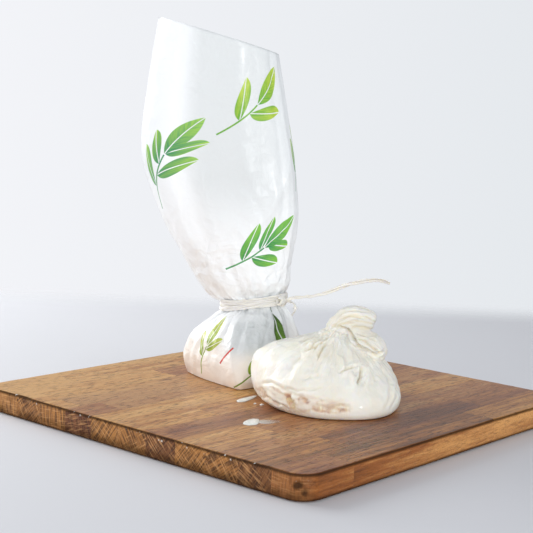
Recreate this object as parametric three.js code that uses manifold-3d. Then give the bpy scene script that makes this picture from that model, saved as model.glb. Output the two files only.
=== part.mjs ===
// Burrata on a wooden board: one soft cheese out of its wrapper, and one still tied up in its printed film bag.
// Millimetres, +Z up. The origin is the middle of the board's underside. X runs along the board's end grain
// and Y along its staves. The food faces the board's front corner, between +X and -Y.
import * as THREE from "three";
import { mergeVertices } from "three/addons/utils/BufferGeometryUtils.js";
import Module from "manifold-3d";

const wasm = await Module();
wasm.setup();

// ---- Driving dimensions ----
const BOARD = { width: 284.5, length: 292, thickness: 16, cornerRadius: 14, easedEdge: 2 };
const REST_GAP = 0.3; // clearance between pieces that touch
const FACING = THREE.MathUtils.degToRad(41); // turn of the food about Z, from -Y towards +X
const CHEESE_PLACE = { right: 31, away: -28 }; // on the board, in the turned frame
const BAG_PLACE = { right: -28, away: 44 };

// Stations of the bare cheese, from its foot to its gathered neck. left, right, front and back are reaches from
// a centre that lies a little away from the cheese's own axis, and z is the height above the board. corner is the
// power of the outline at the front right, where 2 is an oval and more is boxier.
const CHEESE_STATIONS = [
  { z: 0, left: 43, right: 45, front: 61, back: 23, away: 11, corner: 2.75 },
  { z: 4, left: 48.5, right: 48, front: 63, back: 25, away: 11, corner: 2.7 },
  { z: 12, left: 51.6, right: 47.6, front: 61.5, back: 26, away: 11, corner: 2.5 },
  { z: 21, left: 51.8, right: 43.4, front: 55, back: 25.5, away: 11, corner: 2.2 },
  { z: 30, left: 49.5, right: 37.5, front: 44, back: 25, away: 10, corner: 2 },
  { z: 36.5, left: 40, right: 33, front: 31, back: 22, away: 7, corner: 2 },
  { z: 40.5, left: 27, right: 30, front: 20, back: 18, away: 4, corner: 2 },
  { z: 44.5, left: 12.5, right: 26, front: 12, back: 14, away: 3, corner: 2 },
  { z: 50, left: 4, right: 21, front: 8, back: 10, away: 2, corner: 2 },
];
const CHEESE_PLEATS = { count: 11, depth: 1.3, fromStation: 3.5 };
// The knot that was twisted shut: its root, its upper fold, and the tail of skin lying over the right shoulder.
const KNOT_FOLDS = [
  { right: 11.5, away: 2, z: 50.5, across: 12.5, deep: 11, tall: 9, roll: -0.25 },
  { right: 15.6, away: 2, z: 57.4, across: 14.6, deep: 12, tall: 9, roll: 0.12 },
  { right: 23.5, away: -4, z: 41.5, across: 14.4, deep: 13, tall: 9.2, roll: 0.85 },
];

// Stations of the film bag: the pouch round its cheese, the tied neck, and the open sleeve above it.
// rise is how much a station climbs for each millimetre to the right, and away is how far its centre lies back.
// power shapes the outline: 2 is an oval, and less gives it corners at the sides and at the front.
const BAG_STATIONS = [
  { z: 0, left: 40, right: 40, front: 53, back: 34, away: 7, rise: 0, power: 1.22 },
  { z: 6, left: 42, right: 42.5, front: 54, back: 36, away: 6, rise: 0, power: 1.26 },
  { z: 15, left: 43.2, right: 44, front: 52, back: 37, away: 5, rise: 0, power: 1.34 },
  { z: 26, left: 40, right: 42.5, front: 45, back: 36, away: 3, rise: 0, power: 1.5 },
  { z: 36, left: 33, right: 38.5, front: 34, back: 32, away: 1, rise: 0, power: 1.7 },
  { z: 45, left: 23.8, right: 34, front: 22, back: 22, away: 0, rise: 0.04, power: 2 },
  { z: 50.8, left: 17.6, right: 29.6, front: 15, back: 14, away: 0, rise: 0.12, power: 2 },
  { z: 58, left: 17.6, right: 29.6, front: 15, back: 14, away: 0, rise: 0.12, power: 2 },
  { z: 62, left: 26, right: 30, front: 16, back: 15, away: 0, rise: 0.08, power: 2 },
  { z: 68, left: 33, right: 31.6, front: 18.5, back: 17.5, away: 0, rise: 0.03, power: 2 },
  { z: 86, left: 45.5, right: 32.7, front: 21, back: 20, away: 0, rise: 0, power: 2 },
  { z: 118, left: 64, right: 35.5, front: 25, back: 24, away: 0, rise: 0, power: 2 },
  { z: 158, left: 78.2, right: 31, front: 27, back: 26, away: 0, rise: -0.02, power: 2 },
  { z: 202, left: 74, right: 23.5, front: 30, back: 29, away: 0, rise: -0.12, power: 2 },
  { z: 242.5, left: 67.7, right: 16.8, front: 33, back: 32, away: 0, rise: -0.262, power: 2 },
];
const NECK = 6.5; // the narrowest place, under the tie, in stations
const BAG_PLEATS = { count: 12, depth: 2.2, reach: 2.3 }; // reach is in stations, each way from the neck
const FILM_WALL = 1.2; // the sleeve's wall, much thicker than real film
const SLEEVE_FLOOR = 9.2; // the station where the sleeve's inside ends, over the gathered neck

// The raffia tie: a band round the neck, a knot at its front right with a short tail, and one long loose end.
const BAND = { height: 5.2, thickness: 1.6 };
const KNOT = { angle: -0.68, deep: 3.4, across: 4.8, tall: 4.2 };
const RAFFIA = { width: 4.4, thickness: 1.5 };
// Centrelines of the tail and the loose end, from the knot outwards, in the bag's own frame.
const TAIL_ROUTE = [[29, -12.5, 57.6], [33.4, -15.2, 57.6], [36, -16.8, 55], [35.8, -17.6, 51.6], [34, -18.2, 48.6]];
const END_ROUTE = [
  [35.2, -14.9, 61.2], [40, -16, 61.6], [48, -16.6, 62.8], [57, -16.4, 65.4],
  [67, -15.6, 69.4], [78, -14.6, 73.2], [88, -14, 75.3], [96, -14, 75.6], [102.5, -14.4, 73.8],
];

// How finely each surface is cut.
const DETAIL = { aroundSkin: 44, cheeseRings: 19, bagRings: 31, sleeveInsideRings: 11 };
const RAFFIA_DETAIL = { sides: 8, aroundBand: 40, tailSteps: 10, endSteps: 24 };
const FOLD_DETAIL = { around: 24, upright: 16 };

// ---- Shared geometry ----

function evenly(from, to, count) {
  return Array.from({ length: count }, (_, i) => from + ((to - from) * i) / (count - 1));
}

// The angles of count even steps round a circle.
function around(count) {
  return Array.from({ length: count }, (_, i) => (2 * Math.PI * i) / count);
}

// Uniform Catmull-Rom value at t along a list of numbers.
function splineAt(values, t) {
  const i = Math.min(Math.floor(t), values.length - 2);
  const f = t - i;
  const at = (k) => values[THREE.MathUtils.clamp(k, 0, values.length - 1)];
  const [a, b, c, d] = [at(i - 1), at(i), at(i + 1), at(i + 2)];
  return b + 0.5 * f * (c - a + f * (2 * a - 5 * b + 4 * c - d + f * (3 * (b - c) + d - a)));
}

// A station at any t along a list of stations.
function stationAt(stations, t) {
  const found = {};
  for (const key of Object.keys(stations[0])) {
    found[key] = splineAt(stations.map((station) => station[key]), t);
  }
  return found;
}

// A point of a station's outline, made of four quarter-ovals that share their axes. It lies out beyond the
// outline, or inside it where out is negative, and fold draws it in towards the middle.
function outlinePoint(station, angle, out = 0, fold = 1) {
  const [cos, sin] = [Math.cos(angle), Math.sin(angle)];
  const power = (cos > 0 && sin < 0 && station.corner) || station.power || 2;
  const reach = fold * (Math.abs(cos) ** power + Math.abs(sin) ** power) ** (-1 / power);
  const middle = (station.right - station.left) / 2;
  const across = (station.right + station.left) / 2 + out;
  const deep = (sin < 0 ? station.front : station.back) + out;
  const x = middle + across * reach * cos;
  const y = station.away + deep * reach * sin;
  return new THREE.Vector3(x, y, station.z + (station.rise ?? 0) * (x - middle));
}

// One ring round a station, with count pleats that dip in by depth.
function pleatedRing(station, { count, depth }, out = 0) {
  const reach = Math.min(station.right + station.left, station.front + station.back) / 2;
  return around(DETAIL.aroundSkin).map((angle) => {
    const fold = 1 - (depth / reach) * (0.5 + 0.5 * Math.cos(count * angle));
    return outlinePoint(station, angle, out, fold);
  });
}

// A closed mesh through a list of rings. Both ends close on a pole, or with loop the last ring joins the first.
function skin(rings, loop = false) {
  const points = rings.flat();
  const n = rings[0].length;
  const faces = [];
  rings.slice(loop ? 0 : 1).forEach((_, r) => {
    const [here, next] = [r * n, ((r + 1) % rings.length) * n];
    for (let i = 0; i < n; i++) {
      const j = (i + 1) % n;
      faces.push(here + i, here + j, next + j, here + i, next + j, next + i);
    }
  });
  for (const r of loop ? [] : [0, rings.length - 1]) {
    const pole = points.length;
    points.push(rings[r].reduce((sum, p) => sum.add(p), new THREE.Vector3()).divideScalar(n));
    for (let i = 0; i < n; i++) {
      const [a, b] = [r * n + i, r * n + ((i + 1) % n)];
      faces.push(pole, ...(r === 0 ? [b, a] : [a, b]));
    }
  }
  return new THREE.BufferGeometry().setFromPoints(points).setIndex(faces);
}

// A ball stretched to its half sizes.
function lump({ across, deep, tall }) {
  return new THREE.SphereGeometry(1, FOLD_DETAIL.around, FOLD_DETAIL.upright).scale(across, deep, tall);
}

// One geometry that is the union of closed ones.
function joined(geometries) {
  const solids = geometries.map((geometry) => {
    geometry.deleteAttribute("normal");
    geometry.deleteAttribute("uv");
    const merged = mergeVertices(geometry, 1e-3);
    const vertProperties = merged.attributes.position.array;
    const triVerts = new Uint32Array(merged.index.array);
    return new wasm.Manifold(new wasm.Mesh({ numProp: 3, vertProperties, triVerts }));
  });
  const mesh = solids.reduce((whole, solid) => whole.add(solid)).getMesh();
  return new THREE.BufferGeometry()
    .setAttribute("position", new THREE.BufferAttribute(new Float32Array(mesh.vertProperties), 3))
    .setIndex(new THREE.BufferAttribute(mesh.triVerts, 1));
}

function named(name, geometry, color, roughness) {
  geometry.computeVertexNormals();
  const mesh = new THREE.Mesh(geometry, new THREE.MeshStandardMaterial({ color, roughness, metalness: 0 }));
  mesh.name = name;
  return mesh;
}

// ---- The board: one glued slab with rounded corners and eased edges ----
function boardGeometry({ width, length, thickness, cornerRadius, easedEdge }) {
  const [x, y, r] = [width / 2, length / 2, cornerRadius];
  const outline = new THREE.Shape()
    .moveTo(-x + r, -y)
    .lineTo(x - r, -y)
    .absarc(x - r, -y + r, r, -Math.PI / 2, 0)
    .lineTo(x, y - r)
    .absarc(x - r, y - r, r, 0, Math.PI / 2)
    .lineTo(-x + r, y)
    .absarc(-x + r, y - r, r, Math.PI / 2, Math.PI)
    .lineTo(-x, -y + r)
    .absarc(-x + r, -y + r, r, Math.PI, 1.5 * Math.PI);
  return new THREE.ExtrudeGeometry(outline, {
    depth: thickness - 2 * easedEdge,
    bevelThickness: easedEdge,
    bevelSize: easedEdge,
    bevelOffset: -easedEdge,
    bevelSegments: 3,
    curveSegments: 8,
  }).translate(0, 0, easedEdge);
}

// ---- The bare burrata: a slumped pouch of curd, pleated towards the knot that closes it ----
function cheeseGeometry() {
  const last = CHEESE_STATIONS.length - 1;
  const body = evenly(0, last, DETAIL.cheeseRings).map((t) => {
    const gather = THREE.MathUtils.smoothstep(t, CHEESE_PLEATS.fromStation, last);
    const depth = CHEESE_PLEATS.depth * gather;
    return pleatedRing(stationAt(CHEESE_STATIONS, t), { count: CHEESE_PLEATS.count, depth });
  });
  const folds = KNOT_FOLDS.map((fold) => lump(fold).rotateY(fold.roll).translate(fold.right, fold.away, fold.z));
  return joined([skin(body), ...folds]);
}

// ---- The film bag: a full pouch, a gathered neck, and a sleeve open at the top ----
function bagRing(t, out = 0) {
  const away = Math.abs(t - NECK) / BAG_PLEATS.reach;
  const depth = BAG_PLEATS.depth * (1 - THREE.MathUtils.smoothstep(away, 0, 1));
  return pleatedRing(stationAt(BAG_STATIONS, t), { count: BAG_PLEATS.count, depth }, out);
}

function bagGeometry() {
  const top = BAG_STATIONS.length - 1;
  const outside = evenly(0, top, DETAIL.bagRings).map((t) => bagRing(t));
  const inside = evenly(top, SLEEVE_FLOOR, DETAIL.sleeveInsideRings).map((t) => bagRing(t, -FILM_WALL));
  return skin([...outside, ...inside]);
}

// ---- The raffia tie ----

// A flat oval section is carried round the neck, clear of its film.
function bandGeometry(neck) {
  const rings = around(RAFFIA_DETAIL.aroundBand).map((angle) =>
    around(RAFFIA_DETAIL.sides).map((turn) => {
      const out = REST_GAP + (BAND.thickness / 2) * (1 - Math.cos(turn));
      const point = outlinePoint(neck, angle, out);
      point.z += (BAND.height / 2) * Math.sin(turn);
      return point;
    }),
  );
  return skin(rings, true);
}

// The knot sinks half into the band and stays off the film.
function knotGeometry(neck) {
  const centre = outlinePoint(neck, KNOT.angle, REST_GAP + BAND.thickness / 2 + KNOT.deep);
  return lump({ across: KNOT.deep, deep: KNOT.across, tall: KNOT.tall })
    .rotateZ(KNOT.angle)
    .translate(...centre.toArray());
}

// A flat strip of raffia along a smooth curve.
function raffiaGeometry(route, steps) {
  const [across, deep] = [RAFFIA.width / 2, RAFFIA.thickness / 2];
  const corner = (angle) => new THREE.Vector2(across * Math.cos(angle), deep * Math.sin(angle));
  const section = new THREE.Shape(around(RAFFIA_DETAIL.sides).map(corner));
  const extrudePath = new THREE.CatmullRomCurve3(route.map((point) => new THREE.Vector3(...point)));
  return new THREE.ExtrudeGeometry(section, { steps, extrudePath });
}

function tieGeometry() {
  const neck = stationAt(BAG_STATIONS, NECK);
  return joined([bandGeometry(neck), knotGeometry(neck), raffiaGeometry(TAIL_ROUTE, RAFFIA_DETAIL.tailSteps)]);
}

// ---- Assembly ----
const cheeseStand = new THREE.Group();
cheeseStand.position.set(CHEESE_PLACE.right, CHEESE_PLACE.away, 0);
cheeseStand.add(named("burrata", cheeseGeometry(), 0xf3f0e4, 0.35));

const bagStand = new THREE.Group();
bagStand.position.set(BAG_PLACE.right, BAG_PLACE.away, 0);
bagStand.add(
  named("wrapper", bagGeometry(), 0xf4f5f4, 0.4),
  named("tie", tieGeometry(), 0xece7d8, 0.7),
  named("tie_end", raffiaGeometry(END_ROUTE, RAFFIA_DETAIL.endSteps), 0xece7d8, 0.7),
);

const food = new THREE.Group();
food.rotation.z = FACING;
food.position.z = BOARD.thickness + REST_GAP;
food.add(cheeseStand, bagStand);

const burrataBoard = new THREE.Group();
burrataBoard.add(named("board", boardGeometry(BOARD), 0xa8764a, 0.55), food);

export default burrataBoard;
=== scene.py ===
"""Burrata on a board: one soft cheese out of its wrapper, and one still tied up in its printed film bag.

Food is modelled in millimetres in its own turned frame (right, away, up) and then placed in metres. The
board is modelled straight in metres from the frame's box.
"""
from __future__ import annotations

import logging
import math
from dataclasses import dataclass
from enum import Enum
from functools import partial
from typing import Any, Callable, Sequence

import bmesh
import bpy
from mathutils import Matrix, Vector, noise

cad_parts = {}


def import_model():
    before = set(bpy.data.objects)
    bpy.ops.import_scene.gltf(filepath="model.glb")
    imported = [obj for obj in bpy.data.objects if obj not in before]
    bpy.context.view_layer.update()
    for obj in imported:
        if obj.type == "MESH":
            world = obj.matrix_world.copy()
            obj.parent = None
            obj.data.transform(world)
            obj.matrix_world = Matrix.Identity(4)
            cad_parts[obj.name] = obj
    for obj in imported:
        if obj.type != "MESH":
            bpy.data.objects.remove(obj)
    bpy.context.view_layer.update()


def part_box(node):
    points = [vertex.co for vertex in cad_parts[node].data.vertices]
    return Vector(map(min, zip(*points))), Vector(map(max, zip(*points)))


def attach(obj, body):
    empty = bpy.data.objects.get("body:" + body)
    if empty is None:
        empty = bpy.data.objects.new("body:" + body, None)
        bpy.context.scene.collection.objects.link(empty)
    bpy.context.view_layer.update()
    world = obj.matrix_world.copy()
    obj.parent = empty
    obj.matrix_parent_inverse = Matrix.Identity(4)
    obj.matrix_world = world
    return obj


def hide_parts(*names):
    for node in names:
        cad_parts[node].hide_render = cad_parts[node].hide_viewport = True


LOG = logging.getLogger("burrata_board")
BODY = "root"
MM = 0.001
TAU = 2 * math.pi
MIX = {"out": 2, "data_type": "RGBA"}  # what every mix of two colours needs
UNDER, OVER = 6, 7  # its two colour sockets
FACING = math.radians(41)  # turn of the food about Z
BOARD_THICK = 16.0  # mm
CONTACT_GAP = 0.3  # mm: what the solids keep free where they touch
BOARD_TOP = BOARD_THICK + CONTACT_GAP
Triples = tuple[tuple[float, float, float], ...]
Pairs = tuple[tuple[float, float], ...]
Ring = tuple[float, Vector, Vector, Vector]  # how far along a section is, its middle and its two axes
Adder = Callable[..., Any]  # adds a node to one tree


# --------------------------------------------------------------------------------------------------
# Shared helpers
# --------------------------------------------------------------------------------------------------


def linear(colour: str) -> tuple[float, float, float, float]:
    """Turn an sRGB hex colour into linear RGBA.

    Args:
        colour: Six hex digits with a leading #.

    Returns:
        Linear red, green, blue and an alpha of 1.
    """
    parts = [int(colour[i : i + 2], 16) / 255 for i in (1, 3, 5)]
    return (*(c / 12.92 if c <= 0.04045 else ((c + 0.055) / 1.055) ** 2.4 for c in parts), 1.0)


def add(
    tree: bpy.types.NodeTree,
    kind: str,
    *feeds: Any,
    out: int | str = 0,
    named: dict[int | str, Any] | None = None,
    stops: Sequence[tuple[float, str]] = (),
    **settings: Any,
) -> bpy.types.NodeSocket | None:
    """Add one node with its settings and its links.

    Args:
        tree: The node tree that gets the node.
        kind: The node's class name without its ShaderNode, and after a space its operation, if any.
        *feeds: What goes into the first sockets, each a value or the socket that feeds it.
        out: The output to give back.
        named: What goes into other sockets, by name or number.
        stops: Place and hex colour of each stop, on a colour ramp.
        **settings: Properties of the node.

    Returns:
        The chosen output, whose node has the others too.
    """
    kind, _, operation = kind.partition(" ")
    node = tree.nodes.new(kind if kind.startswith("NodeGroup") else "ShaderNode" + kind)
    for name, value in (settings | ({"operation": operation} if operation else {})).items():
        setattr(node, name, value)
    for key, value in [*enumerate(feeds), *(named or {}).items()]:
        if isinstance(value, bpy.types.NodeSocket):
            tree.links.new(value, node.inputs[key])
        else:
            node.inputs[key].default_value = value
    for i, (place, colour) in enumerate(stops):
        elements = node.color_ramp.elements
        element = elements[i] if i < len(elements) else elements.new(place)
        element.position = place
        element.color = linear(colour)
    return node.outputs[out] if node.outputs else None


def smoothstep(low: float, high: float, value: float) -> float:
    """Rise smoothly from 0 at low to 1 at high."""
    t = min(max((value - low) / (high - low), 0.0), 1.0)
    return t * t * (3 - 2 * t)


def bell(value: float, centre: float, reach: float) -> float:
    """Give a smooth hump of height 1 at centre that dies out reach away from it."""
    return math.exp(-(((value - centre) / reach) ** 2))


def spline_at(values: Sequence[float], t: float) -> float:
    """Uniform Catmull-Rom value at t along a list of numbers, one unit to a number."""
    i = min(max(int(t), 0), len(values) - 2)
    f = t - i
    a, b, c, d = (values[min(max(k, 0), len(values) - 1)] for k in range(i - 1, i + 3))
    return b + 0.5 * f * (c - a + f * (2 * a - 5 * b + 4 * c - d + f * (3 * (b - c) + d - a)))


def curve_point(route: Sequence[Sequence[float]], t: float) -> Vector:
    """Point at t, from 0 to 1, on a smooth curve through a route's points."""
    at = t * (len(route) - 1)
    return Vector([spline_at([point[axis] for point in route], at) for axis in range(3)])


def ring_point(angle: float, reach: float, z: float) -> Vector:
    """Point at an angle round the upright axis, reach away from it and z up."""
    return Vector((math.cos(angle) * reach, math.sin(angle) * reach, z))


def wrapped(
    around: int,
    along: int,
    place: Callable[[float, float], Vector],
    uv_name: str = "wrap",
    uv_size: tuple[float, float] = (1.0, 1.0),
) -> bmesh.types.BMesh:
    """Wrap a grid round a form and weld its seam and its poles.

    Args:
        around: Faces round the form.
        along: Faces from its start to its end.
        place: Where the point goes that is a of the way round and t of the way along.
        uv_name: Name of the UV map, which keeps a and t.
        uv_size: What a full a and a full t measure in the UV map.

    Returns:
        The welded mesh.
    """
    bm = bmesh.new()
    uv = bm.loops.layers.uv.new(uv_name)
    bmesh.ops.create_grid(bm, x_segments=around, y_segments=along, size=0.5, calc_uvs=True)
    for face in bm.faces:
        for loop in face.loops:
            loop[uv].uv = ((loop.vert.co.x + 0.5) * uv_size[0], (loop.vert.co.y + 0.5) * uv_size[1])
    for vert in bm.verts:
        vert.co = place(vert.co.x + 0.5, vert.co.y + 0.5)
    bmesh.ops.remove_doubles(bm, verts=bm.verts, dist=1e-4)
    return bm


def joined(parts: Sequence[bmesh.types.BMesh]) -> bmesh.types.BMesh:
    """Join closed meshes into one, with every face turned outward. The parts are freed."""
    whole = bmesh.new()
    for part in parts:
        scrap = bpy.data.meshes.new("scrap")
        part.to_mesh(scrap)
        part.free()
        whole.from_mesh(scrap)
        bpy.data.meshes.remove(scrap)
    bmesh.ops.recalc_face_normals(whole, faces=whole.faces)
    return whole


def finished(
    name: str, bm: bmesh.types.BMesh, material: bpy.types.Material, place: Matrix | None = None
) -> bpy.types.Object:
    """Make an object of a bmesh, at the origin with its place in its mesh.

    Args:
        name: The piece's name.
        bm: Its mesh, which is freed.
        material: Its finish.
        place: What moves the mesh into the row's frame in metres.

    Returns:
        The linked object.
    """
    mesh = bpy.data.meshes.new(name)
    if place is not None:
        bm.transform(place)
    for face in bm.faces:
        face.smooth = True
    bm.to_mesh(mesh)
    bm.free()
    mesh.materials.append(material)
    piece = bpy.data.objects.new(name, mesh)
    bpy.context.scene.collection.objects.link(piece)
    return piece


def apply_modifiers(piece: bpy.types.Object) -> None:
    """Apply a piece's modifiers to its mesh."""
    bpy.context.view_layer.update()
    evaluated = piece.evaluated_get(bpy.context.evaluated_depsgraph_get())
    mesh = bpy.data.meshes.new_from_object(evaluated)
    piece.modifiers.clear()
    piece.data = mesh


def standing(right: float, away: float) -> Matrix:
    """Matrix from a food's own millimetres to the row's metres, for its place on the board."""
    turn = Matrix.Rotation(FACING, 4, "Z")
    return Matrix.Scale(MM, 4) @ turn @ Matrix.Translation((right, away, BOARD_TOP))


@dataclass(frozen=True)
class Station:
    """One level of a soft form, in millimetres above the board. Its reaches are from the form's axis."""

    z: float
    left: float
    right: float
    front: float
    back: float
    rise: float = 0.0
    away: float = 0.0


def station_at(stations: Sequence[Station], t: float) -> Station:
    """Station at t, from 0 to 1, along a list of stations."""
    at = t * (len(stations) - 1)
    names = ("z", "left", "right", "front", "back", "rise", "away")
    return Station(*(spline_at([getattr(s, name) for s in stations], at) for name in names))


def outline_point(
    station: Station, angle: float, out: float = 0.0, power: float = 2.0
) -> tuple[Vector, Vector]:
    """Point of a station's outline and the level direction that points out of it there.

    Args:
        station: The level.
        angle: Angle from the right, towards the back.
        out: How far beyond the outline the point lies.
        power: 2 for an oval, and more for a boxier outline.

    Returns:
        The point and the outward direction.
    """
    cosine, sine = math.cos(angle), math.sin(angle)
    swell = (abs(cosine) ** power + abs(sine) ** power) ** (-1 / power)
    middle = (station.right - station.left) / 2
    across = (station.right + station.left) / 2
    deep = station.front if sine < 0 else station.back
    outward = Vector((cosine * deep, sine * across, 0.0))
    outward = outward.normalized() if outward.length > 1e-6 else Vector((cosine, sine, 0.0))
    x = middle + across * cosine * swell + outward.x * out
    y = station.away + deep * sine * swell + outward.y * out
    return Vector((x, y, station.z + station.rise * (x - middle))), outward


# --------------------------------------------------------------------------------------------------
# Finishes
# --------------------------------------------------------------------------------------------------


def new_material(name: str) -> tuple[bpy.types.Material, Adder]:
    """Start a node material with an empty tree. It comes with what adds nodes to that tree."""
    material = bpy.data.materials.new(name)
    material.use_nodes = True
    material.node_tree.nodes.clear()
    return material, partial(add, material.node_tree)


def surface(node: Adder, **sockets: Any) -> None:
    """Close a material's tree with its shader and its output. A socket's name has _ for each space."""
    named = {name.replace("_", " "): value for name, value in sockets.items()}
    node("OutputMaterial", node("BsdfPrincipled", named=named))


@dataclass(frozen=True)
class OiledHardwood:
    """Edge-glued hardwood staves, planed and oiled: warm and streaky, with a dull sheen at a low angle."""

    stave_width: float = 24.76 * MM
    first_seam: float = -129.5 * MM
    block_length: float = 150 * MM
    ring_spacing: float = 1.0 * MM
    painted_falloff: float = 1.5  # painted shade: how much darker the wood is painted towards the right, per metre, where the light falls off
    thickness: float = BOARD_THICK * MM
    knots: Triples = ((0.1345, -0.1425, 0.0098), (0.137, -0.1405, 0.0055))

    def build(self) -> bpy.types.Material:
        """Make the material: slanting lines on the end grain, and long streaks along the staves."""
        material, node = new_material("hardwood_oiled_staves")
        place = node("TexCoord", out="Object")
        x, y, z = node("SeparateXYZ", place).node.outputs
        staves = node("Math ADD", x, -self.first_seam)
        staves = node("Math DIVIDE", staves, self.stave_width)
        stave = node("Math FLOOR", staves)
        stagger = node("TexWhiteNoise", named={"W": stave}, noise_dimensions="1D")
        blocks = node("Math MULTIPLY_ADD", y, 1 / self.block_length, stagger)
        block = node("Math FLOOR", blocks)
        chance = node("TexWhiteNoise", node("CombineXYZ", stave, block, 0.5), out="Color")
        pick, hue, shade = list(node("SeparateColor", chance).node.outputs)[:3]

        # Each block has its own place in the log, and its growth rings cross it at their own slant.
        jump = node("VectorMath ADD", place, chance)
        slant = node("Math SUBTRACT", pick, 0.5)
        slant = node("Math MULTIPLY", slant, 2.3)
        turned = node("VectorRotate", jump, named={"Angle": slant}, rotation_type="Y_AXIS")
        across = 1 / self.ring_spacing
        noises = []
        # What each layer of noise is read from, its stretch, scale, detail and roughness.
        for at, stretch, scale, detail, roughness in (
            (turned, (across, 9.0, 0.09 * across), 1.0, 3.0, 0.6),
            (turned, (0.1 * across, 120.0, 1.1 * across), 1.0, 2.0, 0.5),
            (jump, (1.0, 0.05, 1.0), 150.0, 6.0, 0.68),
            (jump, (1.0, 0.16, 1.0), 900.0, 2.0, 0.5),
            (jump, (1.0, 0.3, 1.0), 38.0, 4.0, 0.5),
            (jump, (1.0, 0.07, 1.0), 620.0, 3.0, 0.6),
        ):
            at = node("Mapping", at, named={"Scale": stretch})
            grain = {"Scale": scale, "Detail": detail, "Roughness": roughness}
            noises.append(node("TexNoise", at, named=grain))
        rings, rays, streaks, pores, clouds, lines = noises
        pores = node("MapRange", pores, 0.54, 0.68)

        tone = node("Math MULTIPLY_ADD", shade, 0.36, -0.905)
        # Painted shade: the wood darkens towards the board's right, where the light falls off.
        tone = node("Math MULTIPLY_ADD", x, -self.painted_falloff, tone)
        for part, weight in ((streaks, 1.3), (clouds, 0.6), (rings, 0.35), (lines, 0.65)):
            tone = node("Math MULTIPLY_ADD", part, weight, tone)
        stops = ((0.08, "#49301f"), (0.3, "#6f4729"), (0.5, "#976134"), (0.7, "#b67d42"), (0.95, "#d0a062"))
        colour = node("ValToRGB", tone, stops=stops)
        rosy = node("Math MULTIPLY_ADD", hue, 0.6, clouds)
        rosy = node("MapRange", rosy, 0.7, 1.0, 0.0, 0.38)
        dots = node("Math MULTIPLY", pores, 0.7)

        # The planed long sides are more golden.
        facing = node("SeparateXYZ", node("NewGeometry", out="Normal")).node.outputs
        end_face, long_face, level = (node("Math ABSOLUTE", facing[i]) for i in (1, 0, 2))
        golden = node("MapRange", y, -0.146, -0.02, -0.2, 0.28)
        golden = node("Math ADD", tone, golden)
        planed = node("ValToRGB", golden, stops=((0.1, "#5a3116"), (0.5, "#9c5e2d"), (1.0, "#d99e5d")))
        specks = node("TexNoise", place, named={"Scale": 1100.0, "Detail": 2.0})
        specks = node("MapRange", specks, 0.5, 0.7)
        flecks = node("Math MAXIMUM", pores, specks)
        flecks = node("Math MULTIPLY", flecks, 0.42)
        planed = node("Mix", flecks, named={UNDER: planed, OVER: linear("#6b401c")}, **MIX)

        # End grain is darker, with dark rings and pale rays across it. It is plainer at the board's right.
        grey = node("Math MULTIPLY_ADD", clouds, 0.5, shade)
        cut = node("ValToRGB", grey, stops=((0.3, "#66442b"), (0.7, "#8b5b34"), (1.0, "#b17a42")))
        calm = node("MapRange", x, 0.108, 0.122, 1.0, 0.5)
        ruddy = node("MapRange", hue, 0.5, 1.0, 0.0, 0.6)
        dark = node("MapRange", rings, 0.44, 0.6, 0.0, 0.8)
        pale = node("MapRange", rays, 0.52, 0.66, 0.0, 0.55)
        for share, tint in ((ruddy, "#a05a36"), (dark, "#3d2417"), (pale, "#d8a269")):
            share = node("Math MULTIPLY", share, calm)
            cut = node("Mix", share, named={UNDER: cut, OVER: linear(tint)}, **MIX)
        end_share = node("MapRange", end_face, 0.3, 0.8)

        # The lower arris is painted dark as shade. The upper arris, the lower end grain and a knot are
        # darker too, and knocks leave pale scuffs.
        smears = node("TexNoise", place, named={"Scale": 70.0, "Detail": 4.0})
        low = node("MapRange", z, 0.0085, 0.002, interpolation_type="SMOOTHSTEP")
        for part in (node("MapRange", smears, 0.3, 0.55), end_face, 0.8):
            low = node("Math MULTIPLY", low, part)
        high = node("MapRange", z, self.thickness - 0.0022, self.thickness - 0.001)
        # Painted shade on the lower arris, which faces down.
        foot = node("MapRange", z, 0.003, 0.001)
        rim = node("Math MAXIMUM", high, foot)
        grime_and_shade = node("Math MAXIMUM", low, rim)
        wall = node("Math SUBTRACT", 1.0, level)
        wall = node("MapRange", wall, 0.02, 0.25)
        grime_and_shade = node("Math MULTIPLY", grime_and_shade, wall)
        for spot in self.knots:
            away = node("VectorMath DISTANCE", place, spot, out="Value")
            away = node("Math MULTIPLY_ADD", smears, -0.008, away)
            away = node("MapRange", away, -0.0009, -0.0028)
            grime_and_shade = node("Math MAXIMUM", grime_and_shade, away)
        grime_and_shade = node("Math MULTIPLY", grime_and_shade, 0.85)
        scuffs = node("TexNoise", place, named={"Scale": 260.0, "Detail": 3.0})
        scuffs = node("MapRange", scuffs, 0.65, 0.7)
        for part in (node("MapRange", z, 0.011, 0.0135), node("MapRange", end_face, 0.3, 0.7)):
            scuffs = node("Math MULTIPLY", scuffs, part)
        layers = (
            (rosy, linear("#7c483e")),
            (dots, linear("#452a18")),
            (long_face, planed),
            (end_share, cut),
            (grime_and_shade, linear("#33241a")),
            (scuffs, linear("#dcd8d0")),
        )
        for share, tint in layers:
            colour = node("Mix", share, named={UNDER: colour, OVER: tint}, **MIX)

        height = node("Math MULTIPLY_ADD", pores, -0.8, streaks)
        bump = node("Bump", named={"Strength": 0.5, "Distance": 0.0003, "Height": height})
        rough = node("Math ADD", grime_and_shade, 0.3)
        surface(
            node,
            Base_Color=colour,
            Roughness=node("Math MINIMUM", rough, 0.85),
            Specular_IOR_Level=node("MapRange", grime_and_shade, 0.0, 0.8, 0.22, 0.05),
            Normal=bump,
        )
        return material


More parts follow.
